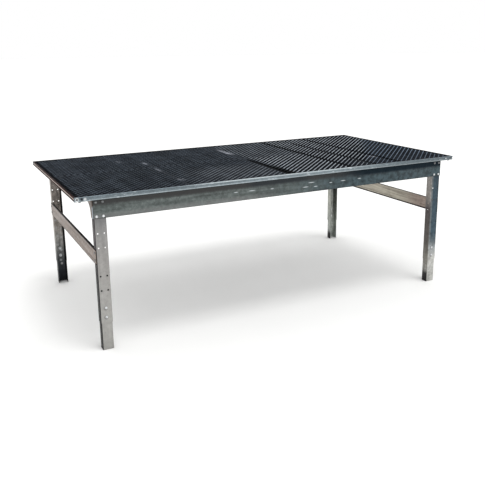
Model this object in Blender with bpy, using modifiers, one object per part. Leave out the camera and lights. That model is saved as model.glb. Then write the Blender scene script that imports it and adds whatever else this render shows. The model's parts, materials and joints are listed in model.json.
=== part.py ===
"""Potting bench: a galvanised frame, a lattice top that lifts out, and four legs with sliding extensions.

The bench stands on the XY plane, centred on the origin, with its length along X and its front at -Y.
All sizes are in metres.
"""
import math

import bmesh
import bpy
from mathutils import Matrix, Vector

# Overall sizes
TOP_LENGTH = 2.4384
TOP_WIDTH = 1.2192
TOP_HEIGHT = 0.8382

# Lattice panels
PANELS_ALONG = 4
PANELS_ACROSS = 2
PANEL_DEPTH = 0.022
PANEL_SPACE = 0.0015
PANEL_RIM = 0.009
LATTICE_RIB = 0.004
LATTICE_CELLS = 4

# Edge trim
TRIM_SHEET = 0.0016
TRIM_BEAD = 0.0035
TRIM_LEDGE = 0.030

# Side rails
RAIL_HEIGHT = 0.098
RAIL_FLANGE = 0.042
RAIL_SHEET = 0.0025
RAIL_BEND = 0.004
RAIL_INSET = 0.0086

# Joists
JOIST_COUNT = 10
JOIST_FLANGE = 0.032
JOIST_SHEET = 0.0016
JOIST_BEND = 0.003
END_JOIST_HEIGHT = 0.0254

# Legs
END_OVERHANG = 0.0922
LEG_WIDTH = 0.064
LEG_FLANGE = 0.0445
LEG_SHEET = 0.002
LEG_BEND = 0.004
LEG_BOTTOM = 0.1524
EXTENSION_HEADROOM = 0.015
EXTENSION_TRAVEL = 0.1524
NESTING_CLEARANCE = 0.0004

# Hole rows in the legs, measured up from the floor, and the spacing of each pair
LEG_HOLE_PAIRS = (0.331, 0.409, 0.561, 0.638)
LEG_HOLE_SPACING = 0.0345
RAIL_BOLT_ROWS = (0.012, 0.086)
EXTENSION_BOLT_HEIGHT = 0.184
EXTENSION_BOLT_SPACING = 0.0508

# Knee gussets
GUSSET_SHEET = 0.003
GUSSET_RADIUS = 0.066
GUSSET_EDGE = 0.004

# End braces
BRACE_BOTTOM = 0.472
BRACE_HEIGHT = 0.0835
BRACE_FLANGE = 0.010
BRACE_SHEET = 0.0025
BRACE_BEND = 0.004
BRACE_END_MARGIN = 0.004
BRACE_BOLT_SPACING = 0.040

# Bolts
BOLT_RADIUS = 0.00475
BOLT_HOLE_CLEARANCE = 0.00055
BOLT_HEAD_RADIUS = 0.0095
BOLT_HEAD_HEIGHT = 0.0045
NUT_RADIUS = 0.00825
NUT_HEIGHT = 0.008
BOLT_TAIL = 0.003
HOLE_SIDES = 8
BOLT_SIDES = 8

# The space kept between pieces that touch, and the depth that a cope takes off a web's inner face
FIT_GAP = 0.0003
COPE_RELIEF = 0.0001

# Places worked out from the sizes above
BOLT_HOLE_RADIUS = BOLT_RADIUS + BOLT_HOLE_CLEARANCE
SEAT_Z = TOP_HEIGHT - PANEL_DEPTH - FIT_GAP
TRIM_BOTTOM = SEAT_Z - TRIM_SHEET
TRIM_HEIGHT = TOP_HEIGHT - TRIM_BOTTOM
TRIM_DEPTH = TRIM_SHEET + TRIM_BEAD
RAIL_TOP = TRIM_BOTTOM - FIT_GAP
RAIL_BOTTOM = RAIL_TOP - RAIL_HEIGHT
RAIL_FACE_Y = TOP_WIDTH / 2 - RAIL_INSET
LEG_FACE_Y = RAIL_FACE_Y - RAIL_SHEET - FIT_GAP
LEG_TOP = RAIL_TOP - RAIL_BEND
LEG_OUTER_X = TOP_LENGTH / 2 - END_OVERHANG
LEG_X = LEG_OUTER_X - LEG_WIDTH / 2
LEG_BACK_Y = LEG_FACE_Y - LEG_FLANGE
JOIST_HEIGHT = SEAT_Z - RAIL_BOTTOM - RAIL_SHEET - FIT_GAP
JOIST_SPACING = TOP_LENGTH / (JOIST_COUNT + 2)
BRACE_BOLT_Y = LEG_FACE_Y - LEG_FLANGE / 2
BRACE_MIDDLE_Z = BRACE_BOTTOM + BRACE_HEIGHT / 2
EXTENSION_TOP = BRACE_BOTTOM - EXTENSION_HEADROOM

GALVANISED = ("galvanised_steel", (0.56, 0.58, 0.59, 1.0), 0.42, 0.9)
LEG_STEEL = ("leg_steel", (0.60, 0.61, 0.60, 1.0), 0.48, 0.85)
BRACE_STEEL = ("brace_steel", (0.55, 0.52, 0.48, 1.0), 0.5, 0.8)
TRIM_STEEL = ("trim_steel", (0.62, 0.66, 0.69, 1.0), 0.35, 0.9)
ZINC = ("zinc_plate", (0.72, 0.73, 0.74, 1.0), 0.3, 1.0)
BLACK_PLASTIC = ("black_plastic", (0.030, 0.033, 0.038, 1.0), 0.45, 0.0)

SIDES = {"front": -1, "back": 1}
ENDS = {"left": -1, "right": 1}


def clear_scene():
    for item in list(bpy.data.objects):
        bpy.data.objects.remove(item, do_unlink=True)


def new_collection(name):
    collection = bpy.data.collections.new(name)
    bpy.context.scene.collection.children.link(collection)
    return collection


def material(finish):
    """Return the Principled material of a finish, made the first time that it is asked for."""
    name, colour, roughness, metallic = finish
    found = bpy.data.materials.get(name)
    if found:
        return found
    made = bpy.data.materials.new(name)
    made.use_nodes = True
    shader = made.node_tree.nodes["Principled BSDF"]
    shader.inputs["Base Color"].default_value = colour
    shader.inputs["Roughness"].default_value = roughness
    shader.inputs["Metallic"].default_value = metallic
    made.diffuse_color = colour
    return made


def mesh_from(name, bm):
    bmesh.ops.recalc_face_normals(bm, faces=bm.faces)
    mesh = bpy.data.meshes.new(name)
    bm.to_mesh(mesh)
    bm.free()
    return mesh


def rounded(points, radius, steps=3):
    """Return an open run of points with an arc in place of each inner corner."""
    line = [Vector(p) for p in points]
    result = [line[0]]
    for before, corner, after in zip(line, line[1:], line[2:]):
        to_start = (before - corner).normalized()
        to_end = (after - corner).normalized()
        half = to_start.angle(to_end) / 2
        centre = corner + (to_start + to_end).normalized() * radius / math.sin(half)
        start = corner + to_start * radius / math.tan(half) - centre
        end = corner + to_end * radius / math.tan(half) - centre
        for step in range(steps + 1):
            result.append(centre + start.slerp(end, step / steps) * radius)
    result.append(line[-1])
    return result


def folded_sheet(name, points, length, sheet, bend):
    """Fold a sheet along X: points are (y, z) on its outer skin, and the sheet lies inside the fold."""
    bm = bmesh.new()
    outline = rounded([(-length / 2, y, z) for y, z in points], bend)
    verts = [bm.verts.new(p) for p in outline]
    edges = [bm.edges.new(pair) for pair in zip(verts, verts[1:])]
    swept = bmesh.ops.extrude_edge_only(bm, edges=edges)["geom"]
    moved = [item for item in swept if isinstance(item, bmesh.types.BMVert)]
    bmesh.ops.translate(bm, verts=moved, vec=(length, 0, 0))
    blank = bpy.data.objects.new(name, mesh_from(name, bm))
    solidify = blank.modifiers.new("Sheet", "SOLIDIFY")
    solidify.thickness = sheet
    solidify.offset = inward_offset(blank.data, points)
    solidify.use_even_offset = True
    return blank


def inward_offset(mesh, points):
    """Return the Solidify offset that thickens towards the middle of the fold."""
    middle = Vector((0, sum(p[0] for p in points) / len(points), sum(p[1] for p in points) / len(points)))
    face = mesh.polygons[0]
    return 1.0 if face.normal.dot(middle - face.center) > 0 else -1.0


def extruded(name, points, length):
    """Extrude a closed outline of (y, z) points along X, centred on x = 0."""
    bm = bmesh.new()
    face = bm.faces.new([bm.verts.new((-length / 2, y, z)) for y, z in points])
    swept = bmesh.ops.extrude_face_region(bm, geom=[face])["geom"]
    moved = [item for item in swept if isinstance(item, bmesh.types.BMVert)]
    bmesh.ops.translate(bm, verts=moved, vec=(length, 0, 0))
    return bpy.data.objects.new(name, mesh_from(name, bm))


def add_box(bm, low, high):
    size = Vector(high) - Vector(low)
    centre = (Vector(high) + Vector(low)) / 2
    bmesh.ops.create_cube(bm, size=1, matrix=Matrix.Translation(centre) @ Matrix.Diagonal(size.to_4d()))


def add_rod(bm, centre, direction, radius, length, sides=HOLE_SIDES):
    turn = Vector(direction).to_track_quat("Z", "Y").to_matrix().to_4x4()
    bmesh.ops.create_cone(bm, cap_ends=True, segments=sides, radius1=radius, radius2=radius, depth=length,
                          matrix=Matrix.Translation(centre) @ turn)


def cutter(name, bm):
    """Put a finished cutter in the cutters' collection, where it is neither rendered nor built."""
    tool = bpy.data.objects.new(name, mesh_from(name, bm))
    tool.hide_render = True
    tool.display_type = "WIRE"
    CUTTERS.objects.link(tool)
    return tool


def boolean(blank, tool, operation="DIFFERENCE"):
    step = blank.modifiers.new(tool.name, "BOOLEAN")
    step.operation = operation
    step.solver = "EXACT"
    step.object = tool


def finished_mesh(blank):
    """Apply the blank's modifiers, and return the mesh that its copies share."""
    PARTS.objects.link(blank)
    bpy.context.view_layer.update()
    shape = bpy.data.meshes.new_from_object(blank.evaluated_get(bpy.context.evaluated_depsgraph_get()))
    shape.name = blank.name
    bpy.data.objects.remove(blank, do_unlink=True)
    return shape


def place(name, mesh, finish, location=(0, 0, 0), turn=0.0, tilt=0.0):
    """Add one sub-part: turn is about Z and tilt about the part's own X, both in degrees."""
    if not mesh.materials:
        mesh.materials.append(material(finish))
    part = bpy.data.objects.new(name, mesh)
    part.location = location
    part.rotation_euler = (math.radians(tilt), 0, math.radians(turn))
    PARTS.objects.link(part)
    return part


def arc(centre, radius, first, last, steps):
    """Return points on an arc of (y, z), with its angles in degrees."""
    angles = [math.radians(first + (last - first) * step / steps) for step in range(steps + 1)]
    return [(centre[0] + radius * math.cos(a), centre[1] + radius * math.sin(a)) for a in angles]


def build_panels():
    """Lattice panels: a rim, and ribs at 45 degrees that leave diamond openings."""
    room_x = TOP_LENGTH - 2 * (TRIM_DEPTH + FIT_GAP)
    room_y = TOP_WIDTH - 2 * (TRIM_DEPTH + FIT_GAP)
    size_x = (room_x - (PANELS_ALONG - 1) * PANEL_SPACE) / PANELS_ALONG
    size_y = (room_y - (PANELS_ACROSS - 1) * PANEL_SPACE) / PANELS_ACROSS

    slab = bmesh.new()
    add_box(slab, (-size_x / 2, -size_y / 2, 0), (size_x / 2, size_y / 2, PANEL_DEPTH))
    blank = bpy.data.objects.new("lattice_panel", mesh_from("lattice_panel", slab))

    diamonds = bmesh.new()
    pitch_x, pitch_y = size_x / LATTICE_CELLS, size_y / LATTICE_CELLS
    half_rib = LATTICE_RIB * math.sqrt(2) / 2
    for column in range(2 * LATTICE_CELLS + 1):
        for row in range(2 * LATTICE_CELLS + 1):
            if (column + row) % 2 == 0:
                continue
            centre = Vector((column * pitch_x / 2 - size_x / 2, row * pitch_y / 2 - size_y / 2, PANEL_DEPTH / 2))
            spread = Matrix.Diagonal((pitch_x / 2 - half_rib, pitch_y / 2 - half_rib, 1, 1))
            bmesh.ops.create_cone(diamonds, cap_ends=True, segments=4, radius1=1, radius2=1,
                                  depth=3 * PANEL_DEPTH, matrix=Matrix.Translation(centre) @ spread)
    window = bmesh.new()
    inner_x, inner_y = size_x / 2 - PANEL_RIM, size_y / 2 - PANEL_RIM
    add_box(window, (-inner_x, -inner_y, -PANEL_DEPTH / 2), (inner_x, inner_y, PANEL_DEPTH * 1.5))
    openings = cutter("lattice_openings", diamonds)
    boolean(openings, cutter("lattice_window", window), "INTERSECT")
    boolean(blank, openings)
    mesh = finished_mesh(blank)

    for row in range(PANELS_ACROSS):
        for column in range(PANELS_ALONG):
            x = (column - (PANELS_ALONG - 1) / 2) * (size_x + PANEL_SPACE)
            y = (row - (PANELS_ACROSS - 1) / 2) * (size_y + PANEL_SPACE)
            side = "front" if row == 0 else "back"
            place(f"{side}_panel_{column + 1}", mesh, BLACK_PLASTIC, (x, y, TOP_HEIGHT - PANEL_DEPTH))


def trim_outline():
    """Section of the trim: a wall with a bead along each edge, and a ledge for the panels.

    y is 0 on the wall's inner face and grows outwards; z is 0 at the bottom.
    """
    low = arc((TRIM_SHEET, TRIM_BEAD), TRIM_BEAD, -90, 90, 4)
    high = arc((TRIM_SHEET, TRIM_HEIGHT - TRIM_BEAD), TRIM_BEAD, -90, 90, 4)
    ledge = [(0, TRIM_HEIGHT), (0, TRIM_SHEET), (-TRIM_LEDGE, TRIM_SHEET), (-TRIM_LEDGE, 0)]
    return low + high + ledge


def trim_piece(name, length, ledge_length):
    """Return a length of trim whose ledge is shorter than its wall, to pass the next trim at each corner."""
    blank = extruded(name, trim_outline(), length)
    corners = bmesh.new()
    for sign in (-1, 1):
        start, stop = sorted((sign * ledge_length / 2, sign * length))
        add_box(corners, (start, -2 * TRIM_LEDGE, -TRIM_SHEET), (stop, 0, 2 * TRIM_SHEET))
    boolean(blank, cutter(f"{name}_corners", corners))
    return finished_mesh(blank)


def build_trim():
    wall_x = TOP_LENGTH / 2 - TRIM_DEPTH
    wall_y = TOP_WIDTH / 2 - TRIM_DEPTH
    long_trim = trim_piece("long_trim", TOP_LENGTH, 2 * (wall_x - FIT_GAP))
    for side, sign in SIDES.items():
        place(f"{side}_trim", long_trim, TRIM_STEEL, (0, sign * wall_y, TRIM_BOTTOM), 0 if sign > 0 else 180)
    end_trim = trim_piece("end_trim", 2 * (wall_y - FIT_GAP), 2 * (wall_y - TRIM_LEDGE - FIT_GAP))
    for end, sign in ENDS.items():
        place(f"{end}_end_trim", end_trim, TRIM_STEEL, (sign * wall_x, 0, TRIM_BOTTOM), -90 * sign)


def build_rails():
    """Side rails: channels whose lower flange is cut away where the legs pass it."""
    length = 2 * LEG_OUTER_X
    section = [(RAIL_FLANGE, 0), (0, 0), (0, -RAIL_HEIGHT), (RAIL_FLANGE, -RAIL_HEIGHT)]
    blank = folded_sheet("side_rail", section, length, RAIL_SHEET, RAIL_BEND)
    copes = bmesh.new()
    holes = bmesh.new()
    for sign in (-1, 1):
        inner = sign * (LEG_X - LEG_WIDTH / 2 - 2 * LEG_SHEET)
        low_x, high_x = sorted((inner, sign * length))
        low_z = -RAIL_HEIGHT - RAIL_SHEET
        high_z = low_z + 2 * RAIL_SHEET + RAIL_BEND
        add_box(copes, (low_x, RAIL_SHEET - COPE_RELIEF, low_z), (high_x, 2 * RAIL_FLANGE, high_z))
        for offset in (-LEG_HOLE_SPACING / 2, LEG_HOLE_SPACING / 2):
            for row in RAIL_BOLT_ROWS:
                add_rod(holes, (sign * LEG_X + offset, RAIL_SHEET / 2, row - RAIL_HEIGHT), (0, 1, 0),
                        BOLT_HOLE_RADIUS, 4 * RAIL_SHEET)
    boolean(blank, cutter("rail_copes", copes))
    boolean(blank, cutter("rail_holes", holes))
    mesh = finished_mesh(blank)
    for side, sign in SIDES.items():
        place(f"{side}_rail", mesh, GALVANISED, (0, sign * RAIL_FACE_Y, RAIL_TOP), 0 if sign < 0 else 180)


def build_joists():
    """Joists: channels that stand in the rails, with their tops level with the trim's ledge."""
    length = 2 * (RAIL_FACE_Y - RAIL_BEND)
    section = [(JOIST_FLANGE, JOIST_HEIGHT), (0, JOIST_HEIGHT), (0, 0), (JOIST_FLANGE, 0)]
    blank = folded_sheet("joist", section, length, JOIST_SHEET, JOIST_BEND)
    copes = bmesh.new()
    ledge_end = TRIM_DEPTH + TRIM_LEDGE - RAIL_INSET
    flange_end = RAIL_FACE_Y - max(RAIL_FLANGE, ledge_end) - FIT_GAP
    under_flange = LEG_TOP - (SEAT_Z - JOIST_HEIGHT)
    for sign in (-1, 1):
        low_x, high_x = sorted((sign * flange_end, sign * length))
        add_box(copes, (low_x, -JOIST_FLANGE, under_flange), (high_x, 2 * JOIST_FLANGE, 2 * JOIST_HEIGHT))
    boolean(blank, cutter("joist_copes", copes))
    mesh = finished_mesh(blank)
    for number in range(JOIST_COUNT):
        x = (number - (JOIST_COUNT - 1) / 2) * JOIST_SPACING
        place(f"joist_{number + 1}", mesh, GALVANISED, (x + JOIST_FLANGE / 2, 0, SEAT_Z - JOIST_HEIGHT), 90)

    section = [(JOIST_FLANGE, END_JOIST_HEIGHT), (0, END_JOIST_HEIGHT), (0, 0), (JOIST_FLANGE, 0)]
    blank = folded_sheet("end_joist", section, 2 * (LEG_BACK_Y - FIT_GAP), JOIST_SHEET, JOIST_BEND)
    mesh = finished_mesh(blank)
    for end, sign in ENDS.items():
        place(f"{end}_end_joist", mesh, GALVANISED, (sign * LEG_OUTER_X, 0, SEAT_Z - END_JOIST_HEIGHT), 90 * sign)


def channel_on_end(name, width, flange, low, high, sheet, bend):
    """Return a channel that stands along Z, its web's outer face on y = 0 and its flanges towards +Y."""
    section = [(-width / 2, flange), (-width / 2, 0), (width / 2, 0), (width / 2, flange)]
    blank = folded_sheet(name, section, high - low, sheet, bend)
    # The fold runs along X with (y, z) as its section: turn it so that X becomes Z.
    stand = Matrix(((0, 1, 0, 0), (0, 0, 1, 0), (1, 0, 0, (low + high) / 2), (0, 0, 0, 1)))
    blank.data.transform(stand)
    return blank


def build_legs():
    blank = channel_on_end("upper_leg", LEG_WIDTH, LEG_FLANGE, LEG_BOTTOM, LEG_TOP, LEG_SHEET, LEG_BEND)
    holes = bmesh.new()
    through = 4 * LEG_SHEET
    rows = LEG_HOLE_PAIRS + tuple(RAIL_BOTTOM + row for row in RAIL_BOLT_ROWS)
    for z in rows:
        for x in (-LEG_HOLE_SPACING / 2, LEG_HOLE_SPACING / 2):
            add_rod(holes, (x, LEG_SHEET / 2, z), (0, 1, 0), BOLT_HOLE_RADIUS, through)
    for z in (EXTENSION_BOLT_HEIGHT, EXTENSION_BOLT_HEIGHT + EXTENSION_BOLT_SPACING):
        add_rod(holes, (0, LEG_SHEET / 2, z), (0, 1, 0), BOLT_HOLE_RADIUS, through)
    for z in (BRACE_MIDDLE_Z - BRACE_BOLT_SPACING / 2, BRACE_MIDDLE_Z + BRACE_BOLT_SPACING / 2):
        add_rod(holes, (0, LEG_FLANGE / 2, z), (1, 0, 0), BOLT_HOLE_RADIUS, 2 * LEG_WIDTH)
    boolean(blank, cutter("leg_holes", holes))
    mesh = finished_mesh(blank)

    inset = LEG_SHEET + NESTING_CLEARANCE
    blank = channel_on_end("leg_extension", LEG_WIDTH - 2 * inset, LEG_FLANGE - inset, 0, EXTENSION_TOP,
                           LEG_SHEET, LEG_BEND)
    boolean(blank, cutter("extension_slot", adjusting_slot()))
    extension = finished_mesh(blank)

    for side, side_sign in SIDES.items():
        for end, end_sign in ENDS.items():
            turn = 0 if side_sign < 0 else 180
            x, y = end_sign * LEG_X, side_sign * LEG_FACE_Y
            place(f"{side}_{end}_leg", mesh, LEG_STEEL, (x, y, 0), turn)
            inner_y = y - side_sign * inset
            place(f"{side}_{end}_leg_extension", extension, LEG_STEEL, (x, inner_y, 0), turn)


def adjusting_slot():
    """Cutter for the long slot that both extension bolts pass through."""
    slot = bmesh.new()
    low = EXTENSION_BOLT_HEIGHT
    high = EXTENSION_BOLT_HEIGHT + EXTENSION_BOLT_SPACING + EXTENSION_TRAVEL
    outline = arc((0, low), BOLT_HOLE_RADIUS, 180, 360, 6) + arc((0, high), BOLT_HOLE_RADIUS, 0, 180, 6)
    face = slot.faces.new([slot.verts.new((x, -LEG_SHEET, z)) for x, z in outline])
    swept = bmesh.ops.extrude_face_region(slot, geom=[face])["geom"]
    moved = [item for item in swept if isinstance(item, bmesh.types.BMVert)]
    bmesh.ops.translate(slot, verts=moved, vec=(0, 3 * LEG_SHEET, 0))
    return slot


def build_gussets():
    """Knee gussets: flat plates from each leg's outer flange to the end joist, with a round inner edge."""
    first = GUSSET_EDGE
    reach = LEG_FLANGE + GUSSET_RADIUS
    knee = SEAT_Z - END_JOIST_HEIGHT - RAIL_TOP
    foot = knee - GUSSET_RADIUS - 2 * GUSSET_EDGE
    curve = arc((reach, knee - GUSSET_RADIUS), GUSSET_RADIUS, 90, 180, 8)
    outline = [(first, 0), (reach + GUSSET_EDGE, 0), (reach + GUSSET_EDGE, knee)] + curve
    outline += [(LEG_FLANGE, foot), (first, foot)]
    mesh = finished_mesh(extruded("knee_gusset", outline, GUSSET_SHEET))
    x = LEG_OUTER_X + FIT_GAP + GUSSET_SHEET / 2
    for side, side_sign in SIDES.items():
        for end, end_sign in ENDS.items():
            place(f"{side}_{end}_gusset", mesh, BRACE_STEEL,
                  (end_sign * x, side_sign * LEG_FACE_Y, RAIL_TOP), 0 if side_sign < 0 else 180)


def build_braces():
    """End braces: channels outside the legs, with flanges that stop short of them."""
    length = 2 * (LEG_FACE_Y - BRACE_END_MARGIN)
    section = [(BRACE_FLANGE, BRACE_HEIGHT), (0, BRACE_HEIGHT), (0, 0), (BRACE_FLANGE, 0)]
    blank = folded_sheet("end_brace", section, length, BRACE_SHEET, BRACE_BEND)
    copes = bmesh.new()
    holes = bmesh.new()
    for sign in (-1, 1):
        start, stop = sorted((sign * (LEG_BACK_Y - FIT_GAP), sign * length))
        low_y = BRACE_SHEET - COPE_RELIEF
        add_box(copes, (start, low_y, -BRACE_SHEET), (stop, 2 * BRACE_FLANGE, 2 * BRACE_HEIGHT))
        for z in (-BRACE_BOLT_SPACING / 2, BRACE_BOLT_SPACING / 2):
            add_rod(holes, (sign * BRACE_BOLT_Y, BRACE_SHEET / 2, BRACE_HEIGHT / 2 + z), (0, 1, 0),
                    BOLT_HOLE_RADIUS, 4 * BRACE_SHEET)
    boolean(blank, cutter("brace_copes", copes))
    boolean(blank, cutter("brace_holes", holes))
    mesh = finished_mesh(blank)
    x = LEG_OUTER_X + FIT_GAP + BRACE_SHEET
    for end, sign in ENDS.items():
        place(f"{end}_end_brace", mesh, BRACE_STEEL, (sign * x, 0, BRACE_BOTTOM), 90 * sign)


def bolt_mesh(name, grip):
    """Return a round-headed bolt along +Y with its hexagon nut; the head seats on y = 0."""
    start, stop = -FIT_GAP, grip + FIT_GAP
    tip = stop + NUT_HEIGHT + BOLT_TAIL
    crown = [(BOLT_HEAD_RADIUS * math.cos(a), start - BOLT_HEAD_HEIGHT * math.sin(a))
             for a in (0, math.radians(40), math.radians(90))]
    profile = [(0, tip), (BOLT_RADIUS, tip), (BOLT_RADIUS, start)] + crown
    bm = bmesh.new()
    verts = [bm.verts.new((radius, y, 0)) for radius, y in profile[:-1]] + [bm.verts.new((0, profile[-1][1], 0))]
    for pair in zip(verts, verts[1:]):
        bm.edges.new(pair)
    bmesh.ops.spin(bm, geom=bm.verts[:] + bm.edges[:], cent=(0, 0, 0), axis=(0, 1, 0), dvec=(0, 0, 0),
                   angle=math.tau, steps=BOLT_SIDES, use_merge=True)
    bmesh.ops.remove_doubles(bm, verts=bm.verts, dist=1e-6)
    blank = bpy.data.objects.new(name, mesh_from(name, bm))
    nut = bmesh.new()
    add_rod(nut, (0, stop + NUT_HEIGHT / 2, 0), (0, 1, 0), NUT_RADIUS, NUT_HEIGHT, 6)
    boolean(blank, cutter(f"{name}_nut", nut), "UNION")
    return finished_mesh(blank)


def build_bolts():
    extension_bolt = bolt_mesh("extension_bolt", 2 * LEG_SHEET + NESTING_CLEARANCE)
    brace_bolt = bolt_mesh("brace_bolt", BRACE_SHEET + FIT_GAP + LEG_SHEET)
    brace_face = LEG_OUTER_X + FIT_GAP + BRACE_SHEET
    for side, side_sign in SIDES.items():
        turn = 0 if side_sign < 0 else 180
        for end, end_sign in ENDS.items():
            corner = f"{side}_{end}"
            x = end_sign * LEG_X
            for number in (1, 2):
                z = EXTENSION_BOLT_HEIGHT + (number - 1) * EXTENSION_BOLT_SPACING
                place(f"{corner}_extension_bolt_{number}", extension_bolt, ZINC,
                      (x, side_sign * LEG_FACE_Y, z), turn)
                z = BRACE_MIDDLE_Z + (number - 1.5) * BRACE_BOLT_SPACING
                place(f"{corner}_brace_bolt_{number}", brace_bolt, ZINC,
                      (end_sign * brace_face, side_sign * BRACE_BOLT_Y, z), 90 * end_sign)


clear_scene()
PARTS = new_collection("potting_bench")
CUTTERS = new_collection("cutters")
build_panels()
build_trim()
build_rails()
build_joists()
build_legs()
build_gussets()
build_braces()
build_bolts()
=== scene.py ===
"""Potting bench: a black lattice top on a galvanised frame, on legs with sliding extensions.

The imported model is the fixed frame. Each operator below dresses or replaces some of its nodes, in metres,
in the frame's own axes: X along the bench, Y from front to back, Z up.
"""
import json
import math

import bmesh
import bpy
from bpy.props import FloatProperty, FloatVectorProperty, IntProperty, PointerProperty
from mathutils import Matrix, Vector


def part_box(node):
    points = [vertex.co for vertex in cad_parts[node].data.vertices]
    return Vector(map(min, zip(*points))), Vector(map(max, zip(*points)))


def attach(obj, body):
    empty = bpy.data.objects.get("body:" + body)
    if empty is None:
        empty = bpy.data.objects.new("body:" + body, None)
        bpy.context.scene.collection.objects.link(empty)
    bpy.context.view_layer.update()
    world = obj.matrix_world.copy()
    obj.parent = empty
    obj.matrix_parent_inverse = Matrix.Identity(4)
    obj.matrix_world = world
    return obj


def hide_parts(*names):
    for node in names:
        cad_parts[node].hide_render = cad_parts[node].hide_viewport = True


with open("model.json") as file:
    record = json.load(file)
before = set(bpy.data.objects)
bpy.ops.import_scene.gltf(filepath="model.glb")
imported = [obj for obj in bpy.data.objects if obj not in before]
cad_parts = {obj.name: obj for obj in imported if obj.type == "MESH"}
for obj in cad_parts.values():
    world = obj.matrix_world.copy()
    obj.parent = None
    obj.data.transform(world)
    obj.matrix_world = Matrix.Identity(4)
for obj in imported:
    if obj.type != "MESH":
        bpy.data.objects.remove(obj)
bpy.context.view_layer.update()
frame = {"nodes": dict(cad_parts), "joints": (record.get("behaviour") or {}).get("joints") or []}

bl_info = {
    "name": "Potting bench",
    "version": (1, 0, 0),
    "blender": (4, 5, 0),
    "location": "3D View > Sidebar > Potting bench",
    "description": "Builds a galvanised potting bench with a black lattice top",
    "category": "Object",
}

BENCH = "bench"
CORNERS = [(side, end) for side in ("front", "back") for end in ("left", "right")]
SIDE_SIGN = {"front": -1, "back": 1}
END_SIGN = {"left": -1, "right": 1}

# What the nodes of the frame say about the bench
TOP_LOW, TOP_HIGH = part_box("front_trim")[0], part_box("back_trim")[1]
PANEL_LOW, PANEL_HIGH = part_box("front_panel_1")
RAIL_LOW, RAIL_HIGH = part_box("front_rail")
LEG_LOW, LEG_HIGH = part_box("front_right_leg")
FOOT_LOW, FOOT_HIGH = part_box("front_right_leg_extension")
BRACE_LOW, BRACE_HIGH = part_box("right_end_brace")
GUSSET_LOW, GUSSET_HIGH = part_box("front_right_gusset")
LEG_X = (LEG_LOW.x + LEG_HIGH.x) / 2
LEG_WIDTH = LEG_HIGH.x - LEG_LOW.x
LEG_DEPTH = LEG_HIGH.y - LEG_LOW.y


def centre_of(node):
    low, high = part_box(node)
    return (low + high) / 2


FOOT_BOLTS = [centre_of(f"front_right_extension_bolt_{number}") for number in (1, 2)]
BRACE_BOLTS = [centre_of(f"front_right_brace_bolt_{number}") for number in (1, 2)]

# Holes in a leg's web: distance from its middle, and height
GAUGE = 0.01725
RAIL_BOLTS = [(x, RAIL_LOW.z + row) for x in (-GAUGE, GAUGE) for row in (0.012, 0.086)]
SPARE_FOOT_HOLES = [(x, z) for z in (0.331, 0.409) for x in (-GAUGE, GAUGE)]
SPARE_BRACE_HOLES = [(x, z) for z in (0.561, 0.638) for x in (-GAUGE, GAUGE)]


# ---- Settings ----------------------------------------------------

def size(name, description, default):
    return FloatProperty(name=name, description=description, default=default, unit="LENGTH", precision=4)


def colour(name, description, default):
    return FloatVectorProperty(name=name, description=description, default=default, subtype="COLOR",
                               size=3, min=0, max=1)


class BenchSizes(bpy.types.PropertyGroup):
    """Sizes of the details that the frame leaves to the looks."""

    rib: size("Rib", "Width of a lattice rib", 0.0042)
    rib_chamfer: size("Rib chamfer", "Chamfer along the top of a lattice rib", 0.0007)
    panel_rim: size("Panel rim", "Width of the rim round a lattice panel", 0.0065)
    panel_cells: IntProperty(name="Cells", description="Diamonds along each side of a panel", default=16)
    sheet: size("Sheet", "Thickness of the legs' sheet", 0.002)
    frame_sheet: size("Frame sheet", "Thickness of the rails' and braces' sheet", 0.0025)
    bend: size("Bend", "Outer radius of the bends in the sheet", 0.004)
    edge: size("Edge", "Rounding of cut edges", 0.00035)
    bolt: size("Bolt", "Radius of a bolt's shank", 0.00475)
    bolt_hole: size("Bolt hole", "Radius of a bolt hole", 0.0053)
    spare_hole: size("Spare hole", "Radius of the unused holes near a leg's top", 0.0040)
    bolt_head: size("Bolt head", "Radius of a bolt's domed head", 0.0072)
    nut: size("Nut", "Radius of a nut across its corners", 0.0083)


class BenchColours(bpy.types.PropertyGroup):
    """Colours of the finishes."""

    # The lattice: its openings painted near black as shade, its rib tops painted lighter as a sheen, and
    # plastic_glare is painted glare on the ribs
    plastic: colour("Plastic", "Lattice in its openings", (0.0035, 0.0045, 0.0060))
    plastic_top: colour("Rubbed plastic", "Tops of the ribs", (0.053, 0.063, 0.077))
    plastic_glare: colour("Dusty plastic", "Tops of the ribs where they are dusty", (0.35, 0.385, 0.425))
    trim: colour("Trim", "Bright rolled trim", (0.25, 0.30, 0.33))
    # Painted shade, tinted rust brown, on the left end's trim
    trim_end: colour("End trim", "Rusty lips of the left end's trim", (0.020, 0.010, 0.009))
    rail: colour("Rail", "Side rails, where they are grey", (0.105, 0.122, 0.118))
    # Painted blue reflection on the rails' right
    rail_blue: colour("Blue rail", "Side rails, where they are bluish", (0.036, 0.054, 0.062))
    joist: colour("Joist", "Joists", (0.26, 0.27, 0.27))
    brace: colour("Brace", "Warm grey braces and gussets", (0.230, 0.185, 0.160))
    zinc: colour("Zinc", "Bolts and nuts", (0.78, 0.80, 0.82))
    # Painted shade: near black for the braces' lips and the screws under the ledge
    shade_black: colour("Grime", "Lips of the braces, and the screws under the ledge", (0.006, 0.006, 0.008))


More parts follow.
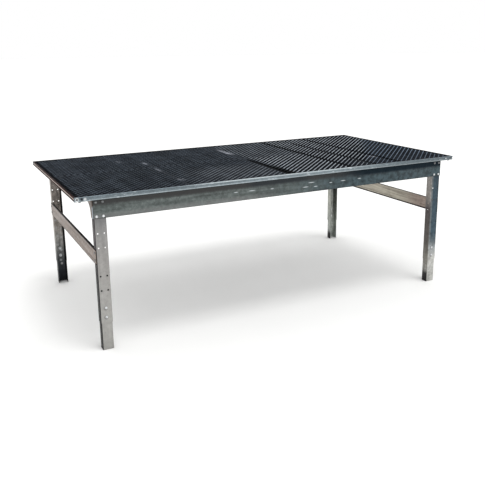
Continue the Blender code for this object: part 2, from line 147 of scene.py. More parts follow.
class BenchStage(bpy.types.PropertyGroup):
    """Camera, floor and light."""

    camera_place: FloatVectorProperty(name="Camera place", description="Where the camera stands", size=3,
                                      default=(-1.8626, -3.7951, 1.5536), subtype="TRANSLATION")
    camera_turn: FloatVectorProperty(name="Camera turn", description="How the camera is turned", size=3,
                                     default=tuple(math.radians(a) for a in (76.0456, 0.7919, -26.3139)),
                                     subtype="EULER")
    lens: FloatProperty(name="Lens", description="Focal length in millimetres", default=48.911,
                        unit="CAMERA")
    shift: FloatVectorProperty(name="Shift", description="Lens shift", size=2, default=(-0.00035, -0.06968))
    floor: colour("Floor", "Pale floor", (0.92, 0.92, 0.91))
    sky: colour("Sky", "Light from all round", (1.0, 1.0, 1.0))
    sky_strength: FloatProperty(name="Sky strength", description="Strength of the light all round",
                                default=1.0)
    sun_strength: FloatProperty(name="Sun strength", description="Strength of the light above", default=1.1)


def sizes():
    return bpy.context.scene.bench_sizes


def colours():
    return bpy.context.scene.bench_colours


# ---- Finishes ----------------------------------------------------

class Finish:
    """A procedural material while it is put together. Its tone is its colour so far."""

    def __init__(self, name, metallic, specular=0.5):
        self.material = bpy.data.materials.new(name)
        self.material.use_nodes = True
        self.tree = self.material.node_tree
        self.shader = self.tree.nodes["Principled BSDF"]
        self.shader.inputs["Metallic"].default_value = metallic
        self.shader.inputs["Specular IOR Level"].default_value = specular
        self.place = self.node("ShaderNodeTexCoord").outputs["Object"]
        split = self.node("ShaderNodeSeparateXYZ")
        self.join(self.place, split.inputs[0])
        self.axes = {"x": split.outputs[0], "y": split.outputs[1], "z": split.outputs[2]}
        self.tone = None

    def node(self, kind, **settings):
        made = self.tree.nodes.new(kind)
        for key, value in settings.items():
            setattr(made, key, value)
        return made

    def join(self, source, target):
        """Link an output to an input, or set the input where the source is a plain value or colour."""
        if isinstance(source, bpy.types.NodeSocket):
            self.tree.links.new(source, target)
        else:
            target.default_value = (*source, 1) if target.type == "RGBA" else source

    def stretched(self, scale, offset=(0, 0, 0), turn=(0, 0, 0)):
        mapping = self.node("ShaderNodeMapping")
        self.join(self.place, mapping.inputs["Vector"])
        for key, value in (("Scale", scale), ("Location", offset), ("Rotation", turn)):
            mapping.inputs[key].default_value = value
        return mapping.outputs[0]

    def noise(self, scale, detail=4, stretch=(1, 1, 1), rough=0.55):
        texture = self.node("ShaderNodeTexNoise")
        self.join(self.stretched(stretch), texture.inputs["Vector"])
        for key, value in (("Scale", scale), ("Detail", detail), ("Roughness", rough)):
            texture.inputs[key].default_value = value
        return texture.outputs["Fac"]

    def crystals(self, scale):
        """Voronoi cells: one random value for each cell, and the distance from its middle."""
        texture = self.node("ShaderNodeTexVoronoi", feature="F1")
        self.join(self.place, texture.inputs["Vector"])
        texture.inputs["Scale"].default_value = scale
        split = self.node("ShaderNodeSeparateColor")
        self.join(texture.outputs["Color"], split.inputs[0])
        return split.outputs[0], texture.outputs["Distance"]

    def ramp(self, value, low, high, start=0.0, end=1.0, smooth=True):
        """Map a value from low..high to start..end, held beyond both. A letter stands for an axis."""
        mapped = self.node("ShaderNodeMapRange", interpolation_type="SMOOTHSTEP" if smooth else "LINEAR")
        self.join(self.axes[value] if isinstance(value, str) else value, mapped.inputs["Value"])
        for key, number in (("From Min", low), ("From Max", high), ("To Min", start), ("To Max", end)):
            mapped.inputs[key].default_value = number
        return mapped.outputs["Result"]

    def math(self, operation, first, *others):
        """Apply an operation to two or more values, from the left."""
        for other in others or (0.0,):
            sum_node = self.node("ShaderNodeMath", operation=operation)
            self.join(first, sum_node.inputs[0])
            self.join(other, sum_node.inputs[1])
            first = sum_node.outputs[0]
        return first

    def times(self, *values):
        return self.math("MULTIPLY", *values)

    def most(self, *values):
        return self.math("MAXIMUM", *values)

    def less(self, value):
        """One less the value."""
        return self.math("SUBTRACT", 1.0, value)

    def mix(self, factor, first, second, blend="MIX"):
        mixed = self.node("ShaderNodeMix", data_type="RGBA", blend_type=blend)
        for socket, source in ((0, factor), (6, first), (7, second)):
            self.join(source, mixed.inputs[socket])
        return mixed.outputs[2]

    def lay(self, mask, paint, strength=1.0):
        """Lay a paint over the tone where the mask is 1."""
        self.tone = self.mix(self.times(mask, strength), self.tone, paint)

    def shade(self, paint, value, low, high):
        """Multiply a colour by a grey that runs from low to high as the value runs from 0 to 1."""
        grey = self.node("ShaderNodeCombineColor")
        level = self.ramp(value, 0, 1, low, high, smooth=False)
        for socket in grey.inputs:
            self.join(level, socket)
        return self.mix(1.0, paint, grey.outputs[0], "MULTIPLY")

    def run(self, axis, stops, span=0.84):
        """Colours along an axis, from (place, colour) stops, all within 0..span."""
        ramp = self.node("ShaderNodeValToRGB")
        while len(ramp.color_ramp.elements) < len(stops):
            ramp.color_ramp.elements.new(1.0)
        for element, (place, paint) in zip(ramp.color_ramp.elements, stops):
            element.position = place / span
            element.color = (*paint, 1)
        self.join(self.ramp(axis, 0, span, smooth=False), ramp.inputs[0])
        return ramp.outputs[0]

    def within(self, axis, low, high, soft):
        """1 between low and high on an axis, falling to 0 over the soft distance outside them."""
        return self.times(self.ramp(axis, low - soft, low), self.ramp(axis, high, high + soft, 1, 0))

    def zone(self, x_span, y_span, soft_x, soft_y, strength=1.0):
        """1 inside a rectangle seen from above, falling to 0 round it."""
        return self.times(self.within("x", *x_span, soft_x), self.within("y", *y_span, soft_y), strength)

    def facing(self, direction, least):
        """1 on faces whose normal points along a direction, 0 elsewhere."""
        dot = self.node("ShaderNodeVectorMath", operation="DOT_PRODUCT")
        self.join(self.node("ShaderNodeTexCoord").outputs["Normal"], dot.inputs[0])
        dot.inputs[1].default_value = Vector(direction).normalized()
        return self.ramp(dot.outputs["Value"], least, 1)

    def spot(self, middle, reach, turn=0.0):
        """1 at the middle of an ellipsoid, falling to 0 at its reach along each axis."""
        scale = [1 / r for r in reach]
        back = Matrix.Rotation(turn, 3, "Z") @ Vector([m * s for m, s in zip(middle, scale)])
        length = self.node("ShaderNodeVectorMath", operation="LENGTH")
        self.join(self.stretched(scale, tuple(-back), (0, 0, turn)), length.inputs[0])
        return self.ramp(length.outputs["Value"], 0.25, 1, 1, 0)

    def deaden(self, mask):
        """Take the metal and the gloss away where the mask is 1."""
        lively = self.less(mask)
        for name in ("Metallic", "Specular IOR Level"):
            socket = self.shader.inputs[name]
            source = socket.links[0].from_socket if socket.is_linked else socket.default_value
            self.join(self.times(lively, source), socket)

    def bump(self, height, strength, distance):
        bump = self.node("ShaderNodeBump")
        bump.inputs["Strength"].default_value = strength
        bump.inputs["Distance"].default_value = distance
        self.join(height, bump.inputs["Height"])
        if self.shader.inputs["Normal"].is_linked:
            self.join(self.shader.inputs["Normal"].links[0].from_socket, bump.inputs["Normal"])
        self.join(bump.outputs[0], self.shader.inputs["Normal"])

    def done(self, roughness):
        self.join(self.tone, self.shader.inputs["Base Color"])
        self.join(roughness, self.shader.inputs["Roughness"])
        return self.material


def galvanised(name, paint, along="x", spangle=95, contrast=1.0, patina=0.35, streak=0.3, dress=None):
    """Zinc coated steel: crystals, rolling streaks along one axis, dull white patina and fine scratches.

    paint is a colour, or a function that lays one. dress adds what is special to one piece.
    """
    finish = Finish(name, metallic=0.72)
    stretch = {"x": (0.05, 1, 1), "y": (1, 0.05, 1), "z": (1, 1, 0.05)}[along]
    if callable(paint):
        paint(finish)
    else:
        finish.tone = paint
    base = finish.tone
    crystal, distance = finish.crystals(spangle)
    fine_crystal, _ = finish.crystals(spangle * 2.7)
    clouds = finish.noise(7, 5)
    mottle = finish.ramp(finish.noise(38, 4, rough=0.65), 0.3, 0.7)
    streaks = finish.noise(60, 3, stretch)
    scratches = finish.noise(420, 2, stretch)

    for value, depth in ((crystal, 0.16), (fine_crystal, 0.08), (mottle, 0.2)):
        finish.tone = finish.shade(finish.tone, value, 1 - depth * contrast, 1 + depth * contrast)
    finish.tone = finish.shade(finish.tone, finish.ramp(streaks, 0.3, 0.7), 1 - streak, 1 + 0.6 * streak)
    dull = finish.ramp(clouds, 0.45, 0.75, 0, patina)
    finish.lay(dull, finish.shade(base, 1.0, 1.0, 1.5))
    if dress:
        dress(finish)

    rough = finish.ramp(crystal, 0, 1, 0.34, 0.50, smooth=False)
    rough = finish.math("ADD", rough, finish.times(dull, 0.35), finish.ramp(scratches, 0.45, 0.7, 0, 0.08))
    finish.bump(finish.times(distance, spangle * 0.5), 0.10, 0.0006)
    finish.bump(scratches, 0.12, 0.0003)
    finish.bump(clouds, 0.25, 0.004)
    return finish.done(rough)


def plain_zinc(name, paint):
    """Zinc plated fasteners: nearly plain, with dull rings and specks."""
    finish = Finish(name, metallic=0.85)
    specks = finish.noise(900, 3)
    worn = finish.noise(160, 4)
    finish.tone = finish.shade(paint, finish.ramp(specks, 0.35, 0.65), 0.8, 1.12)
    finish.tone = finish.shade(finish.tone, finish.ramp(worn, 0.4, 0.7), 1.0, 0.5)
    finish.bump(specks, 0.15, 0.0002)
    return finish.done(finish.ramp(worn, 0.35, 0.7, 0.25, 0.5))


# Dusty scuffs on the lattice: place, reach, turn about Z and strength
SCUFFS = (((0.016, 0.30), (0.024, 0.19), 0.0, 0.75), ((0.016, 0.24), (0.030, 0.06), 0.0, 0.6),
          ((-0.74, 0.30), (0.02, 0.05), 0.2, 0.25), ((-0.61, 0.15), (0.02, 0.06), 0.0, 0.35),
          ((-0.61, -0.10), (0.02, 0.08), 0.0, 0.22), ((-0.59, -0.44), (0.03, 0.05), 0.2, 0.3),
          ((0.77, -0.36), (0.03, 0.05), -0.5, 0.6))

# Painted shade in bands across the lattice, over joists: from x, to x, how far back they reach and strength
BANDS = ((-0.004, 0.028, -0.02, 0.95), (0.430, 0.450, 0.62, 0.97), (0.608, 0.624, 0.46, 0.90),
         (0.790, 0.808, 0.62, 0.97))


def lattice_plastic():
    """Black moulded plastic. Its rib tops are painted lighter as a sheen, and the openings below them near
    black as shade.
    Painted glare, mottled by dust, lies on the ribs that run towards the back right, most of all right of the
    middle, and less on the ribs that cross them.
    """
    paint = colours()
    finish = Finish("black_lattice_plastic", metallic=0.0, specular=0.008)
    x, y, z = (finish.axes[axis] for axis in "xyz")
    cells = 2 * sizes().panel_cells
    top = PANEL_HIGH.z

    def across(value, low, high, next_low):
        """Half cells along a panel, counted anew on each panel."""
        inside = finish.math("MODULO", finish.math("SUBTRACT", value, low), next_low - low)
        return finish.times(inside, cells / (high - low))

    def rim_mask(along):
        """1 on the rims that cross a direction."""
        far = finish.math("ABSOLUTE", finish.math("SUBTRACT", along, cells / 2))
        return finish.ramp(far, cells / 2 - 0.42, cells / 2 - 0.30)

    along_x = across(x, PANEL_LOW.x, PANEL_HIGH.x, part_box("front_panel_2")[0].x)
    along_y = across(y, PANEL_LOW.y, PANEL_HIGH.y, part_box("back_panel_1")[0].y)
    rib = finish.math("PINGPONG", finish.math("SUBTRACT", along_x, along_y), 1.0)
    forward = finish.ramp(rib, 0.14, 0.24, 1, 0)
    backward = finish.less(forward)

    # Zones of painted glare on the ribs, mostly right of the middle
    front_right = finish.zone((0.07, 0.42), (-0.62, -0.12), 0.04, 0.30)
    back_right = finish.most(finish.zone((0.47, 1.3), (-0.30, 0.7), 0.10, 0.35),
                             finish.zone((0.07, 1.3), (-0.7, 0.7), 0.06, 0.1, 0.45))
    middle = finish.zone((-0.30, -0.05), (-0.7, -0.35), 0.35, 0.26, 0.32)
    slope = finish.math("MULTIPLY_ADD", y, 0.66)
    slope.node.inputs[2].default_value = 0.96
    corner = finish.ramp(finish.math("SUBTRACT", x, slope), -0.05, 0.08)
    glaring = finish.most(front_right, back_right, middle)
    glaring = finish.times(glaring, finish.less(finish.times(corner, 0.62)))
    crossing = finish.most(finish.times(front_right, 0.14), finish.times(middle, 0.30))

    dust = finish.ramp(finish.noise(11, 5), 0.3, 0.7)
    lengths = finish.ramp(finish.noise(26, 3, (1, 0.05, 1)), 0.35, 0.65)
    # Rib tops: painted sheen, then painted glare on the ribs towards the back right; where the glare lies,
    # the crossing ribs are painted near black as shade
    glare = finish.mix(corner, finish.shade(paint.plastic_glare, dust, 0.75, 1.2), (0.26, 0.34, 0.46))
    finish.tone = finish.shade(finish.shade(paint.plastic_top, dust, 0.72, 1.25), lengths, 0.85, 1.2)
    finish.lay(finish.times(forward, glaring), glare)
    finish.lay(finish.times(backward, crossing), glare)
    finish.lay(finish.math("SUBTRACT", finish.times(backward, glaring, 0.95), crossing), paint.plastic)
    finish.lay(finish.most(rim_mask(along_x), rim_mask(along_y)), (0.014, 0.017, 0.022), 0.75)
    for place, reach, turn, strength in SCUFFS:
        finish.lay(finish.spot((*place, top), (*reach, 0.1), turn), (0.42, 0.44, 0.50), strength)

    # Below the rib tops the openings are painted near black as shade, with painted glare on the walls that
    # face the front right, fading with depth
    lit = finish.ramp(z, top - 0.010, top - 0.001, 0.25, 1)
    wall = finish.times(finish.facing((1, -1, 0), 0.8), glaring, lit)
    deep = finish.mix(wall, paint.plastic, finish.shade(glare, dust, 0.7, 1.1))
    finish.tone = finish.mix(finish.ramp(z, top - 0.0016, top - 0.0006), deep, finish.tone)
    for low, high, reach, strength in BANDS:
        band = finish.times(finish.within("x", low, high, 0.008), finish.ramp(y, reach - 0.1, reach, 1, 0))
        finish.lay(band, (0.002, 0.003, 0.004), strength)
    # A wedge of painted shade by the middle seam, widening towards the front
    wedge = finish.times(finish.within("x", 0.0, 0.050, 0.014), finish.ramp(y, -0.50, -0.20, 0.9, 0))
    finish.lay(wedge, (0.002, 0.003, 0.003))
    edge = finish.most(finish.ramp(y, PANEL_LOW.y + 0.014, PANEL_LOW.y + 0.006),
                       finish.ramp(finish.math("ABSOLUTE", x), TOP_HIGH.x - 0.030, TOP_HIGH.x - 0.018),
                       finish.ramp(y, TOP_HIGH.y - 0.048, TOP_HIGH.y - 0.030))
    finish.lay(edge, (0.002, 0.002, 0.003), 0.92)
    finish.bump(finish.noise(900, 3), 0.2, 0.0003)
    return finish.done(finish.ramp(dust, 0, 1, 0.5, 0.68))


# ---- Shapes ------------------------------------------------------

def mesh_of(name, bm):
    bmesh.ops.recalc_face_normals(bm, faces=bm.faces)
    mesh = bpy.data.meshes.new(name)
    bm.to_mesh(mesh)
    bm.free()
    return mesh


def linked(thing):
    """Link an object into the scene."""
    bpy.context.scene.collection.objects.link(thing)
    return thing


def smoothed(mesh, sharp):
    """Shade a mesh smooth, but for edges sharper than an angle in degrees."""
    mesh.polygons.foreach_set("use_smooth", [True] * len(mesh.polygons))
    mesh.set_sharp_from_angle(angle=math.radians(sharp))
    return mesh


def arc(middle, radius, first, last, steps):
    """Points on an arc, with its angles in degrees."""
    angles = [math.radians(first + (last - first) * step / steps) for step in range(steps + 1)]
    return [(middle[0] + radius * math.cos(a), middle[1] + radius * math.sin(a)) for a in angles]


def rounded(points, radius, steps=6):
    """An open run of 3-D points, with an arc in place of each inner corner."""
    line = [Vector(p) for p in points]
    result = [line[0]]
    for before, corner, after in zip(line, line[1:], line[2:]):
        to_start, to_end = (before - corner).normalized(), (after - corner).normalized()
        half = to_start.angle(to_end) / 2
        middle = corner + (to_start + to_end).normalized() * radius / math.sin(half)
        start = corner + to_start * radius / math.tan(half) - middle
        end = corner + to_end * radius / math.tan(half) - middle
        result += [middle + start.slerp(end, step / steps) * radius for step in range(steps + 1)]
    return result + [line[-1]]


def moved(bm, extruded, along):
    """Move what an extrusion made by a vector."""
    verts = [part for part in extruded["geom"] if isinstance(part, bmesh.types.BMVert)]
    bmesh.ops.translate(bm, verts=verts, vec=along)


def bent_sheet(name, section, length, sheet, bend):
    """Fold a sheet along X. The section's (y, z) points are its outer skin, and it thickens inwards."""
    bm = bmesh.new()
    verts = [bm.verts.new(p) for p in rounded([(-length / 2, y, z) for y, z in section], bend)]
    edges = [bm.edges.new(pair) for pair in zip(verts, verts[1:])]
    moved(bm, bmesh.ops.extrude_edge_only(bm, edges=edges), (length, 0, 0))
    blank = bpy.data.objects.new(name, mesh_of(name, bm))
    face = blank.data.polygons[0]
    middle = Vector((0, sum(p[0] for p in section), sum(p[1] for p in section))) / len(section)
    thicken = blank.modifiers.new("Sheet", "SOLIDIFY")
    thicken.thickness = sheet
    thicken.offset = 1 if face.normal.dot(middle - face.center) > 0 else -1
    thicken.use_even_offset = True
    return blank


def solid_bar(name, outline, length):
    """Extrude a closed outline of (y, z) points along X, centred on x = 0."""
    bm = bmesh.new()
    face = bm.faces.new([bm.verts.new((-length / 2, y, z)) for y, z in outline])
    moved(bm, bmesh.ops.extrude_face_region(bm, geom=[face]), (length, 0, 0))
    return bpy.data.objects.new(name, mesh_of(name, bm))


def box_cut(bm, low, high):
    span = Vector(high) - Vector(low)
    middle = (Vector(high) + Vector(low)) / 2
    bmesh.ops.create_cube(bm, size=1, matrix=Matrix.Translation(middle) @ Matrix.Diagonal(span.to_4d()))


def hole_cut(bm, middle, direction, radius, length=0.02):
    turn = Vector(direction).to_track_quat("Z", "Y").to_matrix().to_4x4()
    bmesh.ops.create_cone(bm, cap_ends=True, segments=24, radius1=radius, radius2=radius, depth=length,
                          matrix=Matrix.Translation(middle) @ turn)


def slot_cut(bm, low, high, radius, depth):
    """A long hole through Y, with round ends at two heights."""
    outline = arc((0, low), radius, 180, 360, 10) + arc((0, high), radius, 0, 180, 10)
    face = bm.faces.new([bm.verts.new((x, -depth, z)) for x, z in outline])
    moved(bm, bmesh.ops.extrude_face_region(bm, geom=[face]), (0, 3 * depth, 0))


def settle(blank, matrix, cuts=(), edge=None):
    """Cut and soften a blank, and return its mesh in the frame's axes."""
    linked(blank)
    tools = []
    for bm in cuts:
        tool = linked(bpy.data.objects.new(f"{blank.name}_cut", mesh_of(f"{blank.name}_cut", bm)))
        step = blank.modifiers.new("Cut", "BOOLEAN")
        step.solver = "EXACT"
        step.operation = "DIFFERENCE"
        step.object = tool
        tools.append(tool)
    if edge:
        soften = blank.modifiers.new("Edge", "BEVEL")
        soften.width = edge
        soften.segments = 2
        soften.limit_method = "ANGLE"
        soften.angle_limit = math.radians(50)
    bpy.context.view_layer.update()
    shape = bpy.data.meshes.new_from_object(blank.evaluated_get(bpy.context.evaluated_depsgraph_get()))
    shape.name = blank.name
    for used in [blank, *tools]:
        bpy.data.objects.remove(used, do_unlink=True)
    shape.transform(matrix)
    return smoothed(shape, 35)


def add_piece(name, mesh, material, body=BENCH, replaces=()):
    """Add a finished piece that rides on a body of the frame."""
    mesh.materials.clear()
    mesh.materials.append(material)
    piece = linked(bpy.data.objects.new(name, mesh))
    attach(piece, body)
    if replaces:
        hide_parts(*replaces)
    return piece


def stood(x, y, turn, z=0.0):
    """Turn about Z, in degrees, and then move to (x, y, z)."""
    return Matrix.Translation((x, y, z)) @ Matrix.Rotation(math.radians(turn), 4, "Z")


# A section drawn in (y, z) and swept along X stands up along Z, with its web towards -Y.
UPRIGHT = Matrix(((0, 1, 0, 0), (0, 0, 1, 0), (1, 0, 0, 0), (0, 0, 0, 1)))


# ---- Operators ---------------------------------------------------

class BENCH_OT_stage(bpy.types.Operator):
    """Add the camera, a pale floor and soft light"""

    bl_idname = "bench.stage"
    bl_label = "Stage"

    def execute(self, context):
        stage = context.scene.bench_stage
        camera_data = bpy.data.cameras.new("bench_camera")
        camera_data.lens = stage.lens
        camera_data.shift_x, camera_data.shift_y = stage.shift
        camera_data.clip_end = 200
        camera = linked(bpy.data.objects.new("bench_camera", camera_data))
        camera.location = stage.camera_place
        camera.rotation_euler = stage.camera_turn
        context.scene.camera = camera

        bm = bmesh.new()
        bmesh.ops.create_circle(bm, cap_ends=True, segments=96, radius=90)
        floor = linked(bpy.data.objects.new("floor", mesh_of("floor", bm)))
        floor.location.z = -0.0005
        finish = Finish("floor_paint", metallic=0.0, specular=0.1)
        finish.tone = finish.shade(stage.floor, finish.noise(3, 2), 0.98, 1.0)
        floor.data.materials.append(finish.done(0.9))

        world = bpy.data.worlds.new("soft_sky")
        world.use_nodes = True
        background = world.node_tree.nodes["Background"]
        background.inputs["Color"].default_value = (*stage.sky, 1)
        background.inputs["Strength"].default_value = stage.sky_strength
        context.scene.world = world
        context.scene.view_settings.view_transform = "Standard"

        sun = bpy.data.lights.new("overhead_sun", "SUN")
        sun.energy = stage.sun_strength
        sun.angle = math.radians(24)
        lamp = linked(bpy.data.objects.new("overhead_sun", sun))
        lamp.rotation_euler = (math.radians(14), math.radians(6), 0)
        return {"FINISHED"}


class BENCH_OT_lattice(bpy.types.Operator):
    """Mould the lattice panels of the top"""

    bl_idname = "bench.lattice"
    bl_label = "Lattice panels"

    def execute(self, context):
        plastic = lattice_plastic()
        for side in SIDE_SIGN:
            for number in range(1, 5):
                name = f"{side}_panel_{number}"
                mesh = lattice_mesh(name, *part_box(name))
                add_piece(f"{side}_lattice_{number}", mesh, plastic, replaces=[name])
        return {"FINISHED"}


def lattice_mesh(name, low, high):
    """Ribs at 45 degrees with chamfered tops, inside a rim. Each opening is a ring of four corners."""
    size_of = sizes()
    cells = size_of.panel_cells
    rim = size_of.panel_rim
    span_x, span_y = (high.x - low.x) / (2 * cells), (high.y - low.y) / (2 * cells)
    half_rib = size_of.rib / math.sqrt(2)
    chamfer = size_of.rib_chamfer * math.sqrt(2)
    levels = ((high.z, chamfer), (high.z - size_of.rib_chamfer, 0), (low.z, 0))
    compass = {"east": (1, 0), "north": (0, 1), "west": (-1, 0), "south": (0, -1)}
    bm = bmesh.new()
    corner = {}
    for column in range(-1, 2 * cells + 2):
        for row in range(-1, 2 * cells + 2):
            if (column + row) % 2 == 0:
                continue
            x, y = low.x + column * span_x, low.y + row * span_y
            for level, (z, wider) in enumerate(levels):
                reach_x, reach_y = span_x - half_rib + wider, span_y - half_rib + wider
                for point, (east, north) in compass.items():
                    place = (x + east * reach_x, y + north * reach_y, z)
                    corner[column, row, point, level] = bm.verts.new(place)

    def face(keys):
        found = [corner.get(key) for key in keys]
        if all(found):
            bm.faces.new(found)

    ring = ["east", "north", "west", "south"]
    for column, row in {key[:2] for key in corner}:
        for start, stop in zip(ring, ring[1:] + ring[:1]):
            for level in range(len(levels) - 1):
                face([(column, row, start, level), (column, row, stop, level),
                      (column, row, stop, level + 1), (column, row, start, level + 1)])
        for level in (0, len(levels) - 1):
            for step in (1, -1):
                other = (column + 1, row + step)
                near, far = ("north", "south") if step > 0 else ("south", "north")
                face([(column, row, "east", level), (*other, far, level),
                      (*other, "west", level), (column, row, near, level)])
            face([(column, row, "east", level), (column + 1, row + 1, "south", level),
                  (column + 2, row, "west", level), (column + 1, row - 1, "north", level)])

    inner_low, inner_high = low + Vector((rim, rim, 0)) * 0.7, high - Vector((rim, rim, 0)) * 0.7
    for spot, normal in ((inner_low, (-1, 0, 0)), (inner_low, (0, -1, 0)),
                         (inner_high, (1, 0, 0)), (inner_high, (0, 1, 0))):
        bmesh.ops.bisect_plane(bm, geom=bm.verts[:] + bm.edges[:] + bm.faces[:], dist=1e-7,
                               plane_co=spot, plane_no=normal, clear_outer=True)
    add_rim(bm, low, high, rim, size_of.rib_chamfer)
    return mesh_of(name, bm)


def add_rim(bm, low, high, width, chamfer):
    """The rim: rings of four corners, from its outer foot over its top to its inner foot."""
    rings = []
    for inset, z in ((0, low.z), (0, high.z - chamfer), (chamfer, high.z), (width - chamfer, high.z),
                     (width, high.z - chamfer), (width, low.z)):
        ring = [(low.x + inset, low.y + inset), (high.x - inset, low.y + inset),
                (high.x - inset, high.y - inset), (low.x + inset, high.y - inset)]
        rings.append([bm.verts.new((x, y, z)) for x, y in ring])
    for first, second in zip(rings, rings[1:] + rings[:1]):
        for i in range(4):
            bm.faces.new([first[i], first[(i + 1) % 4], second[(i + 1) % 4], second[i]])


# Rings and dots round the screws at the front trim's left end: place from the end, radius and colour
NOSE_MARKS = ((0.014, 0.0125, (0.92, 0.94, 0.95)), (0.014, 0.0080, (0.05, 0.055, 0.06)),
              (0.038, 0.0110, (0.02, 0.024, 0.03)), (0.055, 0.0085, (0.95, 0.97, 0.98)))


class BENCH_OT_trim(bpy.types.Operator):
    """Roll the edge trim, with a bead along its top and bottom"""

    bl_idname = "bench.trim"
    bl_label = "Edge trim"

    def execute(self, context):
        low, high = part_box("front_trim")
        height = high.z - low.z
        ledge = PANEL_LOW.z - low.z
        bead = (height - ledge) / 6.4
        wall = PANEL_LOW.y - low.y - bead
        reach = high.y - low.y - wall - bead
        outline = arc((wall, bead), bead, -90, 90, 12) + arc((wall, height - bead), bead, -90, 90, 12)
        outline += [(0, height), (0, ledge), (-reach, ledge), (-reach, 0)]
        depth = wall + bead

        def front_shading_and_wear(finish):
            left, right = finish.ramp("x", -0.9, -0.1, 0.70, 1.0), finish.ramp("x", 0.35, 0.95, 1.0, 0.62)
            finish.lay(finish.less(finish.times(left, right)), (0.030, 0.044, 0.058))
            # Painted shade in the groove
            groove = finish.within("z", low.z + 2 * bead, high.z - 2 * bead, 0.0012)
            finish.lay(groove, (0.10, 0.12, 0.13), 0.30)
            chips = finish.ramp(finish.noise(70, 3, (0.35, 1, 1)), 0.60, 0.72, 0, 0.60)
            finish.lay(chips, (0.70, 0.76, 0.80))
            # A painted highlight along the middle of the top bead, darker towards its ends
            lip = finish.within("z", high.z - 1.8 * bead, high.z + 0.01, 0.0012)
            middle = finish.within("x", -0.35, 0.30, 0.40)
            finish.lay(finish.times(lip, middle), (0.78, 0.84, 0.87), 0.34)
            finish.lay(finish.times(lip, finish.less(middle)), (0.05, 0.07, 0.09), 0.28)
            # A painted highlight on the bottom bead, and painted shade on the trim's underside
            foot = finish.within("z", low.z + 0.0016, low.z + 2 * bead, 0.0008)
            finish.lay(foot, (0.60, 0.65, 0.66), 0.22)
            under = finish.within("z", low.z - 0.01, low.z + 0.0008, 0.0006)
            finish.lay(under, (0.02, 0.025, 0.03), 0.6)
            for inset, radius, paint in NOSE_MARKS:
                nose = (TOP_LOW.x + inset, low.y, (low.z + high.z) / 2)
                finish.lay(finish.spot(nose, (radius, 0.03, radius * 1.1)), paint)

        def dark_top(finish):
            lip = finish.ramp("z", high.z - 1.6 * bead, high.z - 0.8 * bead)
            finish.deaden(finish.times(lip, 0.95))
            finish.lay(lip, (0.003, 0.003, 0.004), 0.93)

        def left_shade_and_rust(finish):
            # Painted shade, tinted rust brown, on the left end's trim, with a paler groove
            groove = finish.within("z", low.z + 2.6 * bead, high.z - 3.2 * bead, 0.0012)
            finish.deaden(finish.math("SUBTRACT", 0.97, finish.times(groove, 0.6)))
            rusty_shade = finish.ramp(finish.noise(30, 4), 0.4, 0.6)
            finish.tone = finish.mix(rusty_shade, colours().trim_end, (0.034, 0.014, 0.012))
            finish.lay(groove, (0.46, 0.38, 0.34))

        metals = {name: galvanised(f"{name}_trim_zinc", colours().trim, along, 160, streak=0.12, dress=dress)
                  for name, along, dress in (("front", "x", front_shading_and_wear), ("back", "x", dark_top),
                                             ("left", "y", left_shade_and_rust), ("right", "y", dark_top))}
        for side, sign in SIDE_SIGN.items():
            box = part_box(f"{side}_trim")
            self.add(f"{side}_trim", outline, box[1].x - box[0].x, 2 * (box[1].x - depth),
                     (0, sign * (TOP_HIGH.y - depth)), 0 if sign > 0 else 180, low.z, reach, metals[side])
        for end, sign in END_SIGN.items():
            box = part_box(f"{end}_end_trim")
            self.add(f"{end}_end_trim", outline, box[1].y - box[0].y, 2 * (TOP_HIGH.y - depth - reach),
                     (sign * (TOP_HIGH.x - depth), 0), -90 * sign, low.z, reach, metals[end])
        return {"FINISHED"}

    def add(self, node, outline, length, ledge_length, place, turn, low_z, reach, material):
        corners = bmesh.new()
        for sign in (-1, 1):
            start, stop = sorted((sign * (ledge_length / 2 - 0.0003), sign * length))
            box_cut(corners, (start, -2 * reach, -0.002), (stop, 0, 0.003))
        mesh = settle(solid_bar(node, outline, length), stood(*place, turn, low_z), [corners], sizes().edge)
        add_piece(f"{node}_rolled", mesh, material, replaces=[node])


# Bright dashes along the front rail: x, z and half their length
RAIL_DASHES = ((-0.336, 0.767, 0.018), (-0.237, 0.766, 0.028), (-0.109, 0.763, 0.014), (0.112, 0.749, 0.026),
               (0.151, 0.772, 0.030), (0.181, 0.746, 0.018), (0.286, 0.758, 0.014), (0.373, 0.761, 0.024),
               (0.491, 0.762, 0.016))


